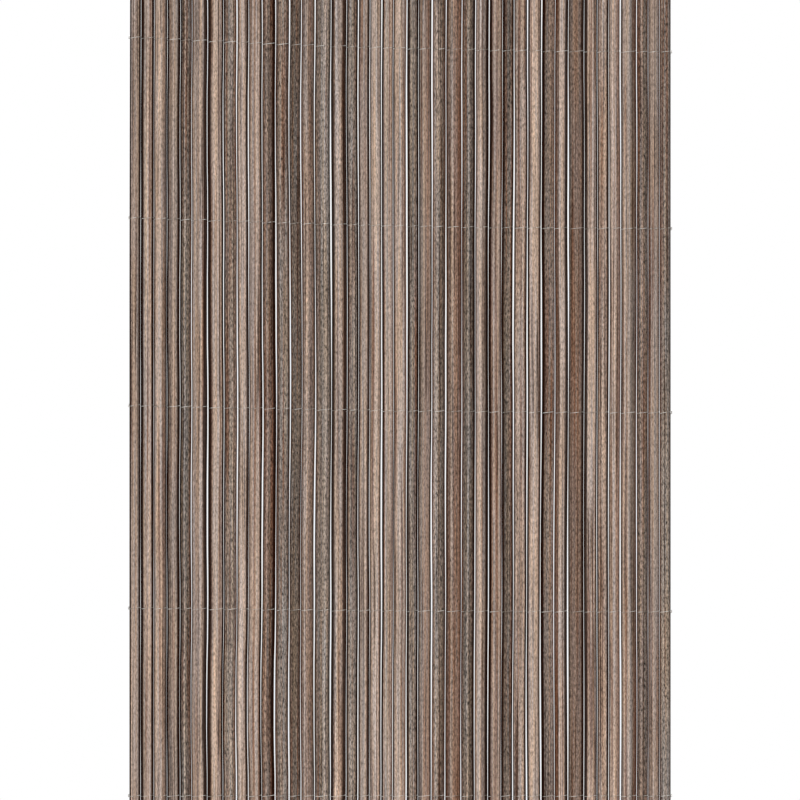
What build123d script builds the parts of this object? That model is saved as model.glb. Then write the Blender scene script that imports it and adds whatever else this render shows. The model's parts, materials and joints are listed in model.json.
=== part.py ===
# A length of synthetic reed screening: hollow plastic reeds side by side, held by rows of
# clear thread, with two threads twined together in each row.
# Millimetres. X runs along the fence, +Y towards its back, and Z up from the reeds' lower ends.

import os
from math import asin, cos, pi, sin, sqrt, tan

from build123d import *

# Reeds
reed_length = 500.0  # cut square at both ends
slim_width = 5.9  # across two tall ridges
medium_width = 6.9
stout_width = 8.2
reed_wall = 0.6  # the same all round
ridge_count = 6  # tall ridges round a reed, with a low one between each two
ridge_height = 0.1  # from the low ridges to the tall ones
ridge_turn = 25.0  # degrees that each reed is turned against the one on its left
reed_order = "SMMMSLLMSM" "MMSMLLSSSS" "MSMMLMMMSM" "MMMLMSSLSS" "S"  # widths, left to right

# Binding threads
thread_width = 0.2  # side of the thread's square section
thread_seat = 0.02  # from a thread to the reed that it lies on
thread_slack = 0.03  # room beside the thread where it passes between two reeds
crossing_gap = 0.8  # between the two threads where they pass each other
end_margin = 50.0  # from the reeds' ends to the outer rows
row_drifts = (0.0, 5.0, 6.0, -1.0, 0.0)  # how far each row strays from even spacing, top row first
top_climb = 8.0  # how much higher the top row is at the left-hand edge; the bottom row is level
knot_cover = 0.32  # how far the knot at each end of a row stands out round its threads

# A thread from corner to corner, its centre line's distance from a reed, and a stitch's climb
thread_depth = thread_width * sqrt(2)
thread_reach = thread_seat + thread_depth / 2
stitch_rise = thread_depth + crossing_gap
knot_width = thread_depth + 2 * knot_cover  # across its flats
knot_height = stitch_rise + thread_depth + 2 * knot_cover

# Places along the fence
reed_widths = {"S": slim_width, "M": medium_width, "L": stout_width}
reed_radii = [reed_widths[letter] / 2 for letter in reed_order]
reed_count = len(reed_radii)
reed_gap = 2 * thread_reach + thread_slack
panel_width = 2 * sum(reed_radii) + (reed_count - 1) * reed_gap
reed_places = []
left_side = -panel_width / 2
for radius in reed_radii:
    reed_places.append(left_side + radius)
    left_side += 2 * radius + reed_gap
knot_places = [side * (panel_width / 2 + thread_seat + knot_width / 2) for side in (-1, 1)]

# Levels of the binding rows
last_row = len(row_drifts) - 1
row_spacing = (reed_length - 2 * end_margin) / last_row


def row_level(row, place):
    """Height of a binding row where it passes a place along the fence."""
    level = reed_length - end_margin - row * row_spacing + row_drifts[row]
    climb = top_climb * (1 - row / last_row)
    return level + climb * (0.5 - place / panel_width) ** 2


def ridge_corners(radius):
    """Corners of a reed's outside, tall and low ridges in turn."""
    corner_count = 2 * ridge_count
    corners = []
    for corner in range(corner_count):
        reach = radius - ridge_height * (corner % 2)
        angle = 2 * pi * corner / corner_count
        corners.append((reach * cos(angle), reach * sin(angle)))
    return corners


def lean_angle(reed, neighbour):
    """Angle between the fence's line and a thread that crosses from one reed to the next, or to a knot."""
    reach = reed_radii[reed] + thread_reach
    if 0 <= neighbour < reed_count:
        spacing = abs(reed_places[neighbour] - reed_places[reed])
        return asin((reach + reed_radii[neighbour] + thread_reach) / spacing)
    knot_spacing = min(abs(knot_place - reed_places[reed]) for knot_place in knot_places)
    return asin(reach / knot_spacing)


def thread_corners(row, front_reeds):
    """Corners of one thread's centre line, on the front of every second reed and the back of the rest.

    Between two reeds it runs along the tangent that both share, and each front stitch rises to the right.
    """
    corners = []
    for reed, (place, radius) in enumerate(zip(reed_places, reed_radii)):
        side = -1 if reed % 2 == front_reeds else 1
        reach = radius + thread_reach
        half_rise = -side * stitch_rise / 2
        level = row_level(row, place)
        left = place - reach * tan(lean_angle(reed, reed - 1) / 2)
        right = place + reach * tan(lean_angle(reed, reed + 1) / 2)
        corners.append((left, side * reach, level - half_rise))
        corners.append((right, side * reach, level + half_rise))
    return corners


def thread_end(corner, knot_place, stop):
    """End of a thread on its way from its last corner to a knot, at a distance from the knot's middle."""
    last = Vector(*corner)
    middle = Vector(knot_place, 0, last.Z)
    return middle + (last - middle).normalized() * stop


def make_reed(number, place, radius):
    """One reed, a ridged tube that stands on its end."""
    with BuildPart() as reed:
        with BuildSketch(Plane(origin=(place, 0, 0))):
            Polygon(*ridge_corners(radius), rotation=number * ridge_turn)
            offset(amount=-reed_wall, kind=Kind.INTERSECTION, mode=Mode.SUBTRACT)
        extrude(amount=reed_length)
    return reed.part


def make_thread(row, front_reeds, knotted):
    """One thread of a row; the knotted one carries the knots at both ends, and the other ends at them."""
    corners = thread_corners(row, front_reeds)
    stop = 0 if knotted else knot_width / sqrt(3) + thread_seat
    start = thread_end(corners[0], knot_places[0], stop)
    finish = thread_end(corners[-1], knot_places[1], stop)
    with BuildPart() as thread:
        with BuildLine() as route:
            Polyline(start, *corners, finish)
        with BuildSketch(Plane(origin=route.wire() @ 0, z_dir=route.wire() % 0)):
            Rectangle(thread_width, thread_width)
        sweep(path=route.wire(), transition=Transition.RIGHT)
        if knotted:
            for knot_place, corner in zip(knot_places, (0, -1)):
                foot = row_level(row, reed_places[corner]) - knot_height / 2
                with BuildSketch(Plane(origin=(knot_place, 0, foot))):
                    RegularPolygon(knot_width / 2, side_count=6, major_radius=False, rotation=30)
                extrude(amount=knot_height)
    return thread.part


os.makedirs("parts", exist_ok=True)

for number, (place, radius) in enumerate(zip(reed_places, reed_radii), start=1):
    reed = make_reed(number, place, radius)
    reed.label = f"reed_{number:02d}"
    export_step(reed, f"parts/{reed.label}.step")

for row in range(len(row_drifts)):
    for front_reeds, letter in enumerate("ab"):
        thread = make_thread(row, front_reeds, knotted=letter == "a")
        thread.label = f"binding_{row + 1}_thread_{letter}"
        export_step(thread, f"parts/{thread.label}.step")

print(f"{reed_count} reeds, {panel_width:.1f} mm wide, {len(row_drifts)} binding rows")
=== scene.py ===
import json
import math
import random

import bpy
import numpy as np
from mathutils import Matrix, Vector


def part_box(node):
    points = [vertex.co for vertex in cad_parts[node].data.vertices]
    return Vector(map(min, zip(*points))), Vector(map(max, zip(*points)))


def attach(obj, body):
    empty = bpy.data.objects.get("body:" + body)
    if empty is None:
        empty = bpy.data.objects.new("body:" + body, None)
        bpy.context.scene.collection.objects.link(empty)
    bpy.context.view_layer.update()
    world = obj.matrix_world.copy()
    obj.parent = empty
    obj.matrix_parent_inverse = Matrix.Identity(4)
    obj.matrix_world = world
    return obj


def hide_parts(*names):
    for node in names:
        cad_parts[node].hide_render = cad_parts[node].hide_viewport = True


# Synthetic reed screening: hollow plastic reeds side by side, bound by rows of twined nylon thread.
# Metres, X along the fence, front towards -Y, Z up. Sizes in the dictionaries are in millimetres.
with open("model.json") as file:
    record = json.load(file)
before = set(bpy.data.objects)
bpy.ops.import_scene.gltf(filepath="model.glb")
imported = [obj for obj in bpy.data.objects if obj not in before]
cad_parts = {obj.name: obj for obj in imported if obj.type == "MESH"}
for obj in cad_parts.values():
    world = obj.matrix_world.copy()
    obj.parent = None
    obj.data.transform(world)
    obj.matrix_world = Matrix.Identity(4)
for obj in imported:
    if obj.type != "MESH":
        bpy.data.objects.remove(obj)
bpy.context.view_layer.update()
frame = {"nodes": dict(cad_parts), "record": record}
nodes = frame["nodes"]
mm = 0.001
chance = random.Random(41)
bpy.ops.object.select_all(action="DESELECT")
print("frame loaded:", len(nodes), "nodes")


# Colours and nodes

def linearColour(hexCode):
    channels = [int(hexCode[place:place + 2], 16) / 255 for place in (1, 3, 5)]
    return (*[c / 12.92 if c <= 0.04045 else ((c + 0.055) / 1.055) ** 2.4 for c in channels], 1.0)


def addNode(tree, kind, settings=None, inputs=None):
    node = tree.nodes.new("ShaderNode" + kind)
    for name, value in (settings or {}).items():
        setattr(node, name, value)
    for name, value in (inputs or {}).items():
        if isinstance(value, bpy.types.NodeSocket):
            tree.links.new(value, node.inputs[name])
        else:
            node.inputs[name].default_value = value
    return node


def newMaterial(name):
    material = bpy.data.materials.new(name)
    material.use_nodes = True
    material.node_tree.nodes.clear()
    return material, material.node_tree


def patternScale(acrossMm, alongMm):
    return (1000 / acrossMm, 1000 / acrossMm, 1000 / alongMm)


# Extruded PVC reed, embossed like dry bark: matte, with short pale and dark flecks along the reed,
# long drawing lines, streaks of brown where two melts run together, broad bands of a second colour,
# painted shade in brown down both flanks, and painted shade as dark edges beside the gaps.
pvcLook = {
    "colours": {
        "tan_reed": "#c2ac9d",
        "grey_reed": "#94877c",
        "dark_reed": "#72665c",
        "streaked_reed": "#b49e8f",
    },
    "fleckDepths": {"tan_reed": 0.58, "grey_reed": 0.95, "dark_reed": 1.0, "streaked_reed": 0.75},
    "lineColour": "#cfbfb2",
    "streakColour": "#6c442f",
    "grooveColour": "#301809",
    # painted shade: near-black beside the gaps
    "gapShadeColour": "#200901",
    "wornColour": "#a08b7d",
    "warmTint": (1.08, 1.0, 0.9, 1.0),
    "coolTint": (0.92, 1.0, 1.11, 1.0),
    # patterns: size across and along the reed, and how many finer layers
    "fleck": (0.5, 1.9, 3.0),  # real emboss is about half as wide; drawn coarser so that it shows
    "line": (0.5, 60.0, 2.0),
    "streak": (1.3, 190.0, 1.0),
    "tint": (0.9, 90.0, 1.0),
    "groove": (0.8, 110.0, 1.0),
    "drift": (5.0, 110.0, 1.0),  # slow change of shade from reed to reed and along each
    "layerStrength": 0.6,
    # what a pattern does: least and most effect, and where in the pattern it starts and stops growing
    "bandFray": (0.6, 1.1),
    "streakCover": (0.0, 0.75, 0.52, 0.68),
    "grooveCover": (0.0, 0.8, 0.58, 0.68),
    "wornCover": (0.0, 0.2, 0.54, 0.7),
    "tintBlend": (0.0, 1.0, 0.36, 0.64),
    "lineShade": (0.76, 1.24),
    "driftShade": (0.9, 1.1),
    "roughness": (0.55, 0.8),
    "ior": 1.53,
    "specular": 0.06,
    "embossDepth": 0.06,
    "embossStrength": 0.5,
}


def pvcReed(slotName):
    look = pvcLook
    material, tree = newMaterial("extrudedPvc_" + slotName)
    place = addNode(tree, "TexCoord")

    def noise(across, along, layers):
        scaled = addNode(tree, "Mapping", None, {
            "Vector": place.outputs["Object"],
            "Scale": patternScale(across, along),
        })
        return addNode(tree, "TexNoise", None, {
            "Vector": scaled.outputs["Vector"],
            "Scale": 1.0,
            "Detail": layers,
            "Roughness": look["layerStrength"],
        }).outputs["Fac"]

    def spread(value, low, high, start=0.3, stop=0.7):
        return addNode(tree, "MapRange", None, {
            "Value": value,
            "From Min": start,
            "From Max": stop,
            "To Min": low,
            "To Max": high,
        }).outputs["Result"]

    def times(first, second):
        return addNode(tree, "Math", {"operation": "MULTIPLY"}, {0: first, 1: second}).outputs["Value"]

    def over(colour, share, top):
        return addNode(tree, "Mix", {"data_type": "RGBA"}, {0: share, 6: colour, 7: top}).outputs[2]

    fleck = noise(*look["fleck"])
    line = noise(*look["line"])
    streak = noise(*look["streak"])
    tint = noise(*look["tint"])
    groove = noise(*look["groove"])
    drift = noise(*look["drift"])

    # bands of the second melt, their edges frayed by the drawing lines, then streaks and dark grooves,
    # pale lines, painted shade on the flanks, flecks where the emboss is worn pale, and painted shade
    # beside the gaps
    band = addNode(tree, "Attribute", {"attribute_name": "bandColour"})
    colour = over(
        linearColour(look["colours"][slotName]),
        times(band.outputs["Alpha"], spread(line, *look["bandFray"])),
        band.outputs["Color"],
    )
    colour = over(colour, spread(streak, *look["streakCover"]), linearColour(look["streakColour"]))
    colour = over(colour, spread(groove, *look["grooveCover"]), linearColour(look["grooveColour"]))
    paleLine = addNode(tree, "Attribute", {"attribute_name": "paleLine"})
    colour = over(colour, paleLine.outputs["Fac"], linearColour(look["lineColour"]))
    # painted shade: the reed's colour darkens in brown towards both flanks
    flankShade = addNode(tree, "Attribute", {"attribute_name": "flankShadeColour"})
    colour = over(colour, flankShade.outputs["Alpha"], flankShade.outputs["Color"])
    colour = over(colour, spread(fleck, *look["wornCover"]), linearColour(look["wornColour"]))
    # painted shade: near-black edges beside the gaps
    edge = addNode(tree, "Attribute", {"attribute_name": "edge"})
    colour = over(colour, edge.outputs["Fac"], linearColour(look["gapShadeColour"]))

    # shade: flecks, lines and drift multiplied together, with warmer and cooler lines among them
    depth = look["fleckDepths"][slotName]
    shade = times(spread(fleck, 1 - depth, 1 + depth), spread(line, *look["lineShade"]))
    shade = times(shade, spread(drift, *look["driftShade"]))
    hue = over(look["coolTint"], spread(tint, *look["tintBlend"]), look["warmTint"])
    tinted = addNode(tree, "VectorMath", {"operation": "MULTIPLY"}, {0: colour, 1: hue})
    shaded = addNode(tree, "VectorMath", {"operation": "SCALE"}, {
        0: tinted.outputs["Vector"],
        "Scale": shade,
    })

    bump = addNode(tree, "Bump", None, {
        "Height": fleck,
        "Strength": look["embossStrength"],
        "Distance": look["embossDepth"] * mm,
    })
    surface = addNode(tree, "BsdfPrincipled", None, {
        "Base Color": shaded.outputs["Vector"],
        "Roughness": spread(fleck, *look["roughness"]),
        "IOR": look["ior"],
        "Specular IOR Level": look["specular"],
        "Normal": bump.outputs["Normal"],
    })
    addNode(tree, "OutputMaterial", None, {"Surface": surface.outputs["BSDF"]})
    return material


# Drawn nylon monofilament: smooth and glossy. At this size a clear thread is seen by its glints alone,
# so its glints are painted into its colour as pale painted highlights, dull in between, and it lets only a
# little light through.
nylonLook = {
    "glintColour": "#fdfaf3",
    "dullColour": "#8d8175",
    "glint": (2.2, 6.0),  # size along the row and up it
    "glintLayers": 2.0,
    "glintFade": (0.4, 0.6),  # where in the pattern a glint begins to fade, and where it has gone
    "roughness": 0.22,
    "ior": 1.53,
    "transmission": 0.06,
}


def nylonThread():
    look = nylonLook
    material, tree = newMaterial("drawnNylon_clear_thread")
    place = addNode(tree, "TexCoord")
    scaled = addNode(tree, "Mapping", None, {
        "Vector": place.outputs["Object"],
        "Scale": patternScale(*look["glint"]),
    })
    glint = addNode(tree, "TexNoise", None, {
        "Vector": scaled.outputs["Vector"],
        "Scale": 1.0,
        "Detail": look["glintLayers"],
    })
    fade = addNode(tree, "MapRange", None, {
        "Value": glint.outputs["Fac"],
        "From Min": look["glintFade"][0],
        "From Max": look["glintFade"][1],
    })
    # painted highlights: pale glints along the thread, dull colour in between
    colour = addNode(tree, "Mix", {"data_type": "RGBA"}, {
        0: fade.outputs["Result"],
        6: linearColour(look["glintColour"]),
        7: linearColour(look["dullColour"]),
    })
    surface = addNode(tree, "BsdfPrincipled", None, {
        "Base Color": colour.outputs[2],
        "Roughness": look["roughness"],
        "IOR": look["ior"],
        "Transmission Weight": look["transmission"],
    })
    addNode(tree, "OutputMaterial", None, {"Surface": surface.outputs["BSDF"]})
    return material


# Which record slot each node takes its finish from
slotOfNode = {part["node"]: part["material_slot"] for part in frame["record"]["subparts"]}
finishes = {name: pvcReed(name) for name in pvcLook["colours"]}
finishes["clear_thread"] = nylonThread()
print("finishes made:", len(finishes))


# Reeds

reedNames = sorted(name for name in nodes if name.startswith("reed_"))
reedForm = {
    "widths": (5.9, 6.9, 8.2),  # across two tall ridges
    "widthSlack": 0.05,  # for telling the widths apart by the reeds' boxes
    "wall": 0.6,
    "ridgeCount": 6,
    "ridgeHeight": 0.1,  # from the low ridges to the tall ones
    "ridgeTurn": 25.0,  # degrees, each reed against the one on its left
    "ridgeRounding": 0.62,
    "ridgeSegments": 3,
    "roundingSpare": 0.172,  # added to the radius; rounding takes about two thirds of it off again
    "ringCuts": 40,
    "smoothAngle": 40.0,
}
# How the reeds stray from dead straight, read along the fence from left to right
reedSway = {
    "stillHeight": 317.0,  # where they lean neither way
    "topLean": (0.4, -1.2, 0.1, 1.0, 0.0),  # at five even places along the fence
    "footLean": (0.0, -1.5, -0.9, -0.8, 0.0),
    "bend": 1.4,
    "gaps": "cccfmomomo" "oomoofmfof" "ofoommmcoo" "omoffmomcf",  # open, medium, faint or closed
    "openings": {"o": 0.48, "m": 0.27, "f": 0.14, "c": 0.03},
    "narrowest": 0.03,
    "wander": 0.55,  # how much a gap opens and closes along the reeds, as a share of itself
    "wanderLength": (200.0, 420.0),
    "hold": 0.08,  # how strongly a reed keeps to its own place against the gaps it would rather have
    "threadRoom": 0.165,  # what a gap opens to at least where a binding row passes
    "roomHeight": 8.0,  # above and below the row, before the gap begins to narrow again
    "roomReach": 28.0,
}
# Bands of the second melt along the reeds: pale, warm brown, grey, dark grey or dark brown, or none
reedBands = {
    "counts": (2, 3, 4),  # seams between bands across one reed
    "seams": (-0.75, 0.75),  # as a share of the half width
    "colours": ("#c5b0a2", "#80604f", "#877b72", "#605349", "#4f3220", None, None, None),
    "strength": (0.5, 0.95),
    "soft": 0.1,
    "pastSide": 2.0,  # how far out the outer bands run, well past the reed's side
    "paleLine": (-0.45, 0.45),  # where the pale line may lie
    "paleLineReach": 0.16,
    "paleLineStrengths": (0.0, 0.35, 0.7),
    # painted shade down the flanks: its brown tones, and where across the half width it begins and is full
    "flankShadeColours": ("#5c2a10", "#70391a", "#38190a", "#402d24"),
    "flankShade": (0.57, 1.13),
    "edges": (  # where the painted shade beside a gap begins, and its strength: broad and dark, or hardly there
        ((0.48, 0.8), (0.85, 1.0)),
        ((0.78, 0.94), (0.2, 0.6)),
    ),
    # how softly the painted shade beside a gap begins
    "gapShadeSoft": 0.07,
}


def boxMiddle(name):
    low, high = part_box(name)
    return (low + high) / 2, high - low


def reedWidth(name):
    size = boxMiddle(name)[1]
    across = max(size.x, size.y) / mm
    return min(width for width in reedForm["widths"] if width > across - reedForm["widthSlack"])


reedPlaces = np.array([boxMiddle(name)[0].x / mm for name in reedNames])
reedRadii = np.array([reedWidth(name) / 2 for name in reedNames])
reedLength = boxMiddle(reedNames[0])[1].z / mm
rowCount = sum(name.endswith("_thread_a") for name in nodes)
knotHalf = 1.0  # mm, half a knot's height


def rowLevel(row, place):
    low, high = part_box(f"binding_{row}_thread_a")
    rightLevel = low.z / mm + knotHalf
    climb = high.z / mm - knotHalf - rightLevel
    share = (reedPlaces[-1] - place) / (reedPlaces[-1] - reedPlaces[0])
    return rightLevel + climb * share ** 2


gapWanders = [
    (chance.uniform(*reedSway["wanderLength"]), chance.uniform(0, 2 * math.pi))
    for gap in reedSway["gaps"]
]
rowLevels = [[rowLevel(row, place) for place in reedPlaces] for row in range(1, rowCount + 1)]


# Sideways stray of every reed at one height: the lean that neighbours share, and wide and narrow gaps
def strayAt(height, halfWidths):
    shares = reedPlaces / (reedPlaces[-1] - reedPlaces[0]) + 0.5
    still = reedSway["stillHeight"]
    stations = np.linspace(0, 1, len(reedSway["topLean"]))
    up = max(0, (height - still) / (reedLength - still)) ** reedSway["bend"]
    down = max(0, (still - height) / still) ** reedSway["bend"]
    lean = np.interp(shares, stations, reedSway["topLean"]) * up
    lean = lean + np.interp(shares, stations, reedSway["footLean"]) * down

    openings = []
    least = []
    for gap, (letter, (length, phase)) in enumerate(zip(reedSway["gaps"], gapWanders)):
        wave = reedSway["wander"] * math.sin(2 * math.pi * height / length + phase)
        openings.append(reedSway["openings"][letter] * (1 + wave))
        nearest = min(abs(height - levels[gap]) for levels in rowLevels)
        beyond = max(0, nearest - reedSway["roomHeight"]) / reedSway["roomReach"]
        least.append(max(reedSway["narrowest"], reedSway["threadRoom"] * math.exp(-beyond ** 2)))
    least = np.array(least)

    # shifts that bring the gaps to these openings as nearly as the reeds' own places and lean allow
    spaces = np.diff(reedPlaces) - halfWidths[1:] - halfWidths[:-1]
    steps = np.diff(np.eye(len(reedPlaces)), axis=0)
    holds = reedSway["hold"] * np.eye(len(reedPlaces))
    wishes = steps.T @ (np.array(openings) - spaces) + reedSway["hold"] * lean
    shifts = np.linalg.solve(steps.T @ steps + holds, wishes)

    # no gap closes further than it may, and all of them together fill the fence's width
    spare = np.maximum(spaces + np.diff(shifts) - least, 0)
    gaps = least + spare * (spaces.sum() + lean[-1] - lean[0] - least.sum()) / spare.sum()
    return lean[0] + np.concatenate(([0.0], np.cumsum(gaps - spaces)))


def pick(piece, kind, test):
    bpy.ops.object.mode_set(mode="EDIT")
    bpy.ops.mesh.select_mode(type=kind)
    bpy.ops.mesh.select_all(action="DESELECT")
    bpy.ops.object.mode_set(mode="OBJECT")
    for item in (piece.data.vertices if kind == "VERT" else piece.data.edges):
        item.select = test(item)
    bpy.ops.object.mode_set(mode="EDIT")


# One reed of each width, standing at the origin
def modelReed(width):
    radius = width / 2 + reedForm["roundingSpare"]
    corners = 2 * reedForm["ridgeCount"]
    bpy.ops.object.select_all(action="DESELECT")
    bpy.ops.mesh.primitive_cylinder_add(
        vertices=corners, radius=radius * mm, depth=reedLength * mm,
        end_fill_type="NOTHING", location=(0, 0, reedLength * mm / 2))
    bpy.ops.object.transform_apply(location=True)
    reed = bpy.context.object

    def isLowRidge(vertex):
        corner = round(math.atan2(vertex.co.y, vertex.co.x) / (2 * math.pi) * corners)
        return corner % 2 == 1

    def isUpright(edge):
        ends = [reed.data.vertices[end].co.z for end in edge.vertices]
        return abs(ends[0] - ends[1]) > mm

    pick(reed, "VERT", isLowRidge)
    lower = 1 - reedForm["ridgeHeight"] / radius
    bpy.ops.transform.resize(value=(lower, lower, 1), center_override=(0, 0, reedLength * mm / 2))
    pick(reed, "EDGE", isUpright)
    bpy.ops.mesh.bevel(
        offset=reedForm["ridgeRounding"] * mm, segments=reedForm["ridgeSegments"],
        profile=0.5, affect="EDGES")
    pick(reed, "EDGE", isUpright)
    bpy.ops.mesh.subdivide(number_cuts=reedForm["ringCuts"])
    bpy.ops.object.mode_set(mode="OBJECT")
    wall = reed.modifiers.new("wall", "SOLIDIFY")
    wall.thickness = reedForm["wall"] * mm
    wall.offset = -1
    wall.use_even_offset = True
    bpy.ops.object.modifier_apply(modifier="wall")
    bpy.ops.object.shade_smooth_by_angle(angle=math.radians(reedForm["smoothAngle"]))
    return reed


def smoothStep(low, high, value):
    share = np.clip((value - low) / (high - low), 0, 1)
    return share * share * (3 - 2 * share)


# Vertex attributes that the reed finish reads, by how far a point lies to the left or right
def paintReed(mesh, side):
    colours = np.zeros((len(mesh.vertices), 4))
    flankShades = np.zeros((len(mesh.vertices), 4))
    edge = np.zeros(len(mesh.vertices))
    seamCount = chance.choice(reedBands["counts"])
    seams = sorted(chance.uniform(*reedBands["seams"]) for seam in range(seamCount))
    pastSide = reedBands["pastSide"]
    for start, stop in zip([-pastSide, *seams], [*seams, pastSide]):
        hexCode = chance.choice(reedBands["colours"])
        strength = chance.uniform(*reedBands["strength"])
        if hexCode:
            depth = np.minimum(side - start, stop - side)
            colours[depth > 0, :3] = linearColour(hexCode)[:3]
            colours[depth > 0, 3] = strength * smoothStep(0, reedBands["soft"], depth[depth > 0])
    # painted shade on each flank, in one of the brown tones
    for half in (-side, side):
        flankShades[half > 0, :3] = linearColour(chance.choice(reedBands["flankShadeColours"]))[:3]
        # painted shade beside the gap on this side: broad and dark, or faint
        starts, strengths = chance.choice(reedBands["edges"])
        start = chance.uniform(*starts)
        strength = chance.uniform(*strengths)
        edge = np.maximum(edge, strength * smoothStep(start, start + reedBands["gapShadeSoft"], half))
    linePlace = chance.uniform(*reedBands["paleLine"])
    lineStrength = chance.choice(reedBands["paleLineStrengths"])
    line = lineStrength * np.clip(1 - np.abs(side - linePlace) / reedBands["paleLineReach"], 0, 1)
    # the painted flank shade grows towards both sides of the reed
    flankShades[:, 3] = smoothStep(*reedBands["flankShade"], np.abs(side))
    mesh.attributes.new("bandColour", "FLOAT_COLOR", "POINT").data.foreach_set("color", colours.ravel())
    mesh.attributes.new("paleLine", "FLOAT", "POINT").data.foreach_set("value", line)
    mesh.attributes.new("flankShadeColour", "FLOAT_COLOR", "POINT").data.foreach_set("color", flankShades.ravel())
    mesh.attributes.new("edge", "FLOAT", "POINT").data.foreach_set("value", edge)


# A pattern's points in millimetres, turned as this reed is
def turnedPoints(mesh, reed):
    points = np.empty(len(mesh.vertices) * 3)
    mesh.vertices.foreach_get("co", points)
    points = points.reshape(-1, 3) / mm
    turn = math.radians((reed + 1) * reedForm["ridgeTurn"])
    across = np.array([[math.cos(turn), math.sin(turn)], [-math.sin(turn), math.cos(turn)]])
    return np.column_stack((points[:, :2] @ across, points[:, 2]))


# How far a reed reaches from its middle, by angle
def outline(points):
    foot = points[points[:, 2] < 0.01]  # the lowest ring
    reach = np.hypot(foot[:, 0], foot[:, 1])
    outside = reach > reach.max() - reedForm["wall"] / 2
    angles = np.arctan2(foot[outside, 1], foot[outside, 0])
    order = np.argsort(angles)
    return angles[order], reach[outside][order]


patterns = {width: modelReed(width) for width in reedForm["widths"]}
reedPoints = [turnedPoints(patterns[2 * radius].data, reed) for reed, radius in enumerate(reedRadii)]
halfWidths = np.array([points[:, 0].max() for points in reedPoints])
reedOutlines = [outline(points) for points in reedPoints]
ringHeights = np.linspace(0, reedLength, reedForm["ringCuts"] + 2)
ringStrays = np.array([strayAt(height, halfWidths) for height in ringHeights])
print("reeds stray by", round(ringStrays.min(), 2), "to", round(ringStrays.max(), 2), "mm")
for reed, name in enumerate(reedNames):
    piece = bpy.data.objects.new(f"pvcReed{reed + 1:02d}", patterns[2 * reedRadii[reed]].data.copy())
    bpy.context.collection.objects.link(piece)
    points = reedPoints[reed]
    paintReed(piece.data, points[:, 0] / halfWidths[reed])
    points[:, 0] += reedPlaces[reed] + np.interp(points[:, 2], ringHeights, ringStrays[:, reed])
    piece.data.vertices.foreach_set("co", points.ravel() * mm)
    piece.data.update()
    piece.data.materials.append(finishes[slotOfNode[name]])
    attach(piece, "root")
    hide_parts(name)
for pattern in patterns.values():
    bpy.data.objects.remove(pattern)
print("reeds made:", len(reedNames))


# Binding threads

threadForm = {
    "width": 0.22,
    "pinch": 0.5,  # how thin it is squeezed between two reeds, as a share of its width
    "pinchStart": 0.7,  # from the middle of a stitch, as a share of the way to the gap
    "seat": 0.022,  # from a thread to the reed that it lies on
    "rise": 1.08,  # climb of a stitch over one reed
    "arcSteps": 28,
    "feelers": 5,  # places round each step where the reed's outside is looked up
    "knotTurns": 3,
    "knotReach": 0.28,  # from the knot's middle to the thread's
    "knotRise": 1.5,
    "knotSteps": 12,
    "sections": 3,
}


# Where the thread without knots ends, just outside a knot's windings
def knotEnd(corner, knotPlace):
    stop = threadForm["knotReach"] + threadForm["width"] / 2 + threadForm["seat"]
    middle = np.array((knotPlace, 0, corner[2]))
    away = np.array(corner[:3]) - middle
    return (*(middle + away / np.linalg.norm(away) * stop), 1.0)


# Centre line of one thread, in millimetres, with its thickness as a share: over the front of every
# second reed, behind the rest, and along the tangent that two neighbours share in between
def threadRoute(row, frontReeds, knotted):
    form = threadForm
    levels = rowLevels[row - 1]
    squeezed = form["seat"] + form["pinch"] * form["width"] / 2
    places = [
        reedPlaces[reed] + np.interp(levels[reed], ringHeights, ringStrays[:, reed])
        for reed in range(len(reedNames))
    ]
    edge = form["seat"] + form["width"] / 2 + form["knotReach"]
    knotPlaces = (places[0] - halfWidths[0] - edge, places[-1] + halfWidths[-1] + edge)

    def lean(reed, other):
        reach = halfWidths[reed] + squeezed
        if 0 <= other < len(places):
            spacing = abs(places[other] - places[reed])
            return math.asin(min(1.0, (reach + halfWidths[other] + squeezed) / spacing))
        knotPlace = knotPlaces[0] if other < 0 else knotPlaces[1]
        return math.asin(min(1.0, reach / abs(knotPlace - places[reed])))

    route = []
    for reed in range(len(places)):
        side = -1 if reed % 2 == frontReeds else 1
        angles = np.linspace(-lean(reed, reed - 1), lean(reed, reed + 1), form["arcSteps"])
        shares = np.linspace(-1, 1, form["arcSteps"])
        climbs = shares * form["rise"] / 2 * -side
        thins = 1 - (1 - form["pinch"]) * smoothStep(form["pinchStart"], 1, np.abs(shares))
        # the highest that the reed stands within a step to either side carries the thread
        nearby = (angles[1] - angles[0]) * np.linspace(-1, 1, form["feelers"])
        for angle, climb, thin in zip(angles, climbs, thins):
            clear = form["seat"] + thin * form["width"] / 2
            widest = halfWidths[reed] + clear
            bearing = math.atan2(side * math.cos(angle), math.sin(angle))
            reach = np.interp(bearing + nearby, *reedOutlines[reed], period=2 * math.pi).max() + clear
            across = np.clip(reach * math.sin(angle), -widest, widest)
            outward = side * reach * math.cos(angle)
            route.append((places[reed] + across, outward, levels[reed] + climb, thin))
    if not knotted:
        return [knotEnd(route[0], knotPlaces[0]), *route, knotEnd(route[-1], knotPlaces[1])]

    # barrel knots: the thread winds downwards in whole turns, and leaves for the reed from its front
    def winding(knotPlace, level):
        steps = form["knotTurns"] * form["knotSteps"]
        turns = []
        for step in range(steps + 1):
            angle = 2 * math.pi * step / form["knotSteps"]
            turns.append((
                knotPlace + form["knotReach"] * math.sin(angle),
                -form["knotReach"] * math.cos(angle),
                level + (0.5 - step / steps) * form["knotRise"],
                1.0,
            ))
        return turns

    start = winding(knotPlaces[0], levels[0])
    finish = winding(knotPlaces[1], levels[-1])
    return [*start, *route, *finish]


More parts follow.
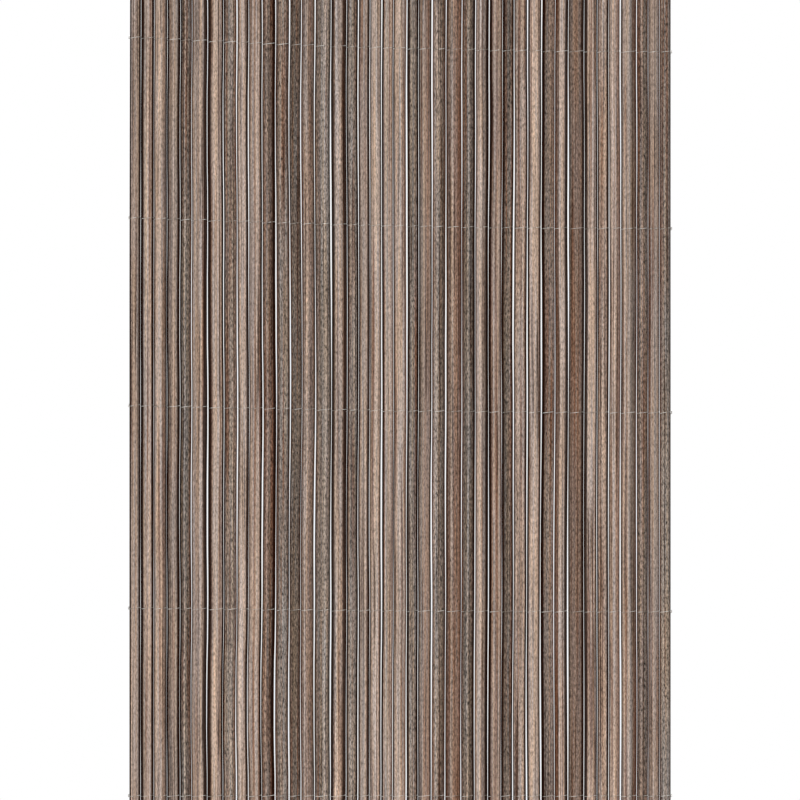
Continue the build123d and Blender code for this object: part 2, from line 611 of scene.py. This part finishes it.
for row in range(1, rowCount + 1):
    for frontReeds, letter in enumerate("ab"):
        node = f"binding_{row}_thread_{letter}"
        line = bpy.data.curves.new(f"nylonThread{row}{letter}", "CURVE")
        line.dimensions = "3D"
        line.bevel_depth = threadForm["width"] / 2 * mm
        line.bevel_resolution = threadForm["sections"] - 1
        line.use_fill_caps = True
        route = threadRoute(row, frontReeds, letter == "a")
        spline = line.splines.new("POLY")
        spline.points.add(len(route) - 1)
        for point, (*place, thin) in zip(spline.points, route):
            point.co = (*[value * mm for value in place], 1.0)
            point.radius = thin
        thread = bpy.data.objects.new(f"nylonThread{row}{letter}", line)
        bpy.context.collection.objects.link(thread)
        bpy.ops.object.select_all(action="DESELECT")
        thread.select_set(True)
        bpy.context.view_layer.objects.active = thread
        bpy.ops.object.convert(target="MESH")
        bpy.ops.object.shade_smooth()
        thread = bpy.context.object
        thread.data.materials.clear()
        thread.data.materials.append(finishes["clear_thread"])
        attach(thread, "root")
        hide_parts(node)
print("threads made:", 2 * rowCount)


# Stage, light and camera

stageLook = {
    "floorRadius": 600.0,
    "floorSides": 96,
    "floorColour": "#e9e8e6",
    "floorRoughness": 0.9,
    "ambient": 0.05,
    "lamps": (  # name, place, size and power
        ("keyLamp", (-250.0, -2400.0, 800.0), 800.0, 44.0),
        ("backLamp", (500.0, 2300.0, 1000.0), 1200.0, 32.0),
        ("topLamp", (0.0, 0.0, 2600.0), 1500.0, 32.0),
    ),
    "frameSide": 430.4,  # real width of the square picture at the screening
    "frameMiddle": 262.8,
    "cameraDistance": 3000.0,
    "sensorWidth": 36.0,
}


def aimAt(thing, target):
    direction = target - thing.location
    thing.rotation_euler = direction.to_track_quat("-Z", "Y").to_euler()


def makeStage():
    look = stageLook
    bpy.ops.object.select_all(action="DESELECT")
    bpy.ops.mesh.primitive_circle_add(
        vertices=look["floorSides"], radius=look["floorRadius"] * mm, fill_type="NGON")
    floor = bpy.context.object
    floor.name = "studioFloor"
    material, tree = newMaterial("paleFloor")
    surface = addNode(tree, "BsdfPrincipled", None, {
        "Base Color": linearColour(look["floorColour"]),
        "Roughness": look["floorRoughness"],
    })
    addNode(tree, "OutputMaterial", None, {"Surface": surface.outputs["BSDF"]})
    floor.data.materials.append(material)

    target = Vector((0, 0, look["frameMiddle"] * mm))
    for name, place, size, power in look["lamps"]:
        light = bpy.data.lights.new(name, "AREA")
        light.shape = "SQUARE"
        light.size = size * mm
        light.energy = power
        lamp = bpy.data.objects.new(name, light)
        bpy.context.collection.objects.link(lamp)
        lamp.location = [value * mm for value in place]
        lamp.visible_camera = False
        aimAt(lamp, target)

    # white behind the object for the eye, for gloss and through clear thread; a soft grey fill otherwise
    world = bpy.data.worlds.new("studioWorld")
    world.use_nodes = True
    bpy.context.scene.world = world
    tree = world.node_tree
    tree.nodes.clear()
    ray = addNode(tree, "LightPath")
    seen = ray.outputs["Is Camera Ray"]
    for other in ("Is Glossy Ray", "Is Transmission Ray"):
        either = addNode(tree, "Math", {"operation": "MAXIMUM"}, {0: seen, 1: ray.outputs[other]})
        seen = either.outputs["Value"]
    fill = addNode(tree, "Background", None, {"Color": (1, 1, 1, 1), "Strength": look["ambient"]})
    white = addNode(tree, "Background", None, {"Color": (1, 1, 1, 1), "Strength": 1.0})
    mixed = addNode(tree, "MixShader", None, {0: seen, 1: fill.outputs[0], 2: white.outputs[0]})
    addNode(tree, "OutputWorld", None, {"Surface": mixed.outputs[0]})

    lens = bpy.data.cameras.new("photoCamera")
    lens.sensor_width = look["sensorWidth"]
    lens.lens = look["sensorWidth"] * look["cameraDistance"] / look["frameSide"]
    camera = bpy.data.objects.new("photoCamera", lens)
    bpy.context.collection.objects.link(camera)
    camera.location = (0, -look["cameraDistance"] * mm, look["frameMiddle"] * mm)
    aimAt(camera, target)
    bpy.context.scene.camera = camera
    bpy.context.scene.view_settings.view_transform = "Standard"


makeStage()
print("stage, lamps and camera made")

bpy.context.view_layer.update()
